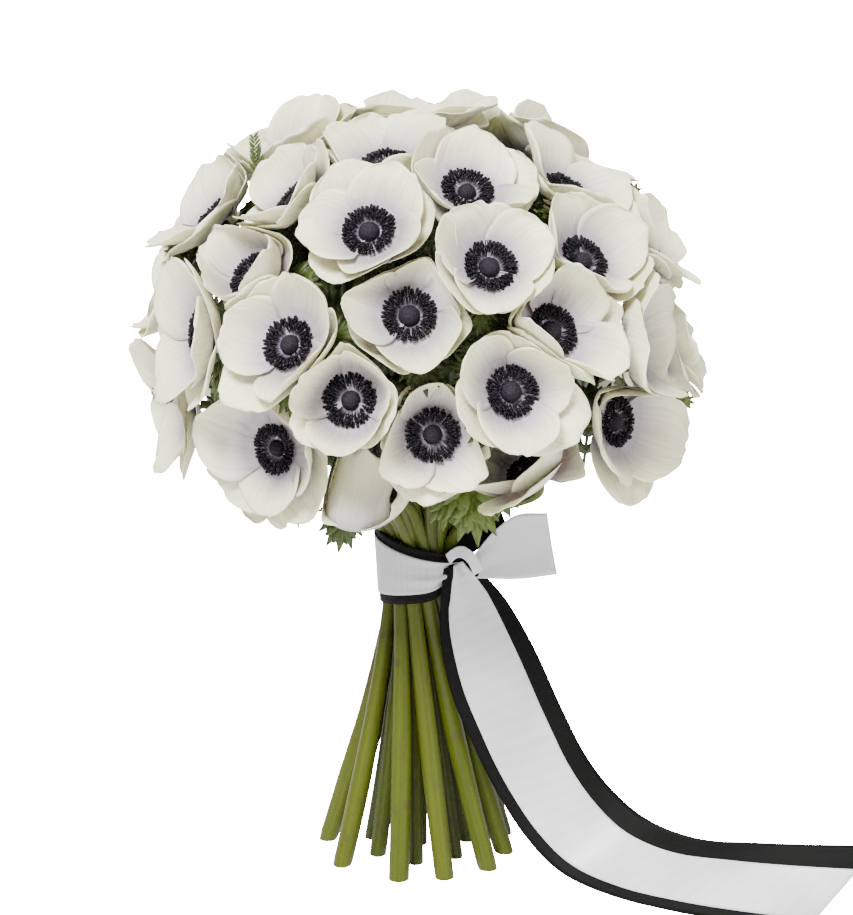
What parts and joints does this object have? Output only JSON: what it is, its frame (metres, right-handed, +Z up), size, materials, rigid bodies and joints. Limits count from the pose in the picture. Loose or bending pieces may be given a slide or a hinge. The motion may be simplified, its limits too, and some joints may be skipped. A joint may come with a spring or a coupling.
{
  "type": "anemone bouquet",
  "caption": "Round hand-tied bouquet of white anemones with dark hearts, spiralled green stems and a white ribbon over a wider black one, standing on its cut stems.",
  "frame": {"origin": "the middle of the middle stem's cut end, on the surface that the bouquet stands on", "axes": "+Z up, -Y towards the viewer, +X the side where the ribbon's tail runs out"},
  "size_m": [0.401, 0.3075, 0.4317],
  "materials": {
    "petals": "soft matte creamy white petals",
    "hearts": "matte indigo black pistil and stamens",
    "greenery": "satin olive green stems and darker matte leaves",
    "ribbon_black": "matte black grosgrain",
    "ribbon_white": "white satin"
  },
  "bodies": {
    "root": {"petals_01": "petals", "petals_02": "petals", "petals_03": "petals", "petals_04": "petals", "petals_05": "petals", "petals_06": "petals", "petals_07": "petals", "petals_08": "petals", "petals_09": "petals", "petals_10": "petals", "petals_11": "petals", "petals_12": "petals", "petals_13": "petals", "petals_14": "petals", "heart_01": "hearts", "heart_02": "hearts", "heart_03": "hearts", "heart_04": "hearts", "heart_05": "hearts", "heart_06": "hearts", "heart_07": "hearts", "heart_08": "hearts", "heart_09": "hearts", "heart_10": "hearts", "heart_11": "hearts", "heart_12": "hearts", "heart_13": "hearts", "heart_14": "hearts", "heart_15": "hearts", "heart_16": "hearts", "heart_17": "hearts", "heart_18": "hearts", "heart_19": "hearts", "heart_20": "hearts", "heart_21": "hearts", "heart_22": "hearts", "heart_23": "hearts", "heart_24": "hearts", "heart_25": "hearts", "heart_26": "hearts", "heart_27": "hearts", "heart_28": "hearts", "heart_29": "hearts", "heart_30": "hearts", "heart_31": "hearts", "heart_32": "hearts", "heart_33": "hearts", "heart_34": "hearts", "heart_35": "hearts", "heart_36": "hearts", "heart_37": "hearts", "heart_38": "hearts", "heart_39": "hearts", "heart_40": "hearts", "heart_41": "hearts", "heart_42": "hearts", "heart_43": "hearts", "stems_and_leaves": "greenery", "ribbon_black": "ribbon_black", "ribbon_white": "ribbon_white"}
  },
  "joints": []
}
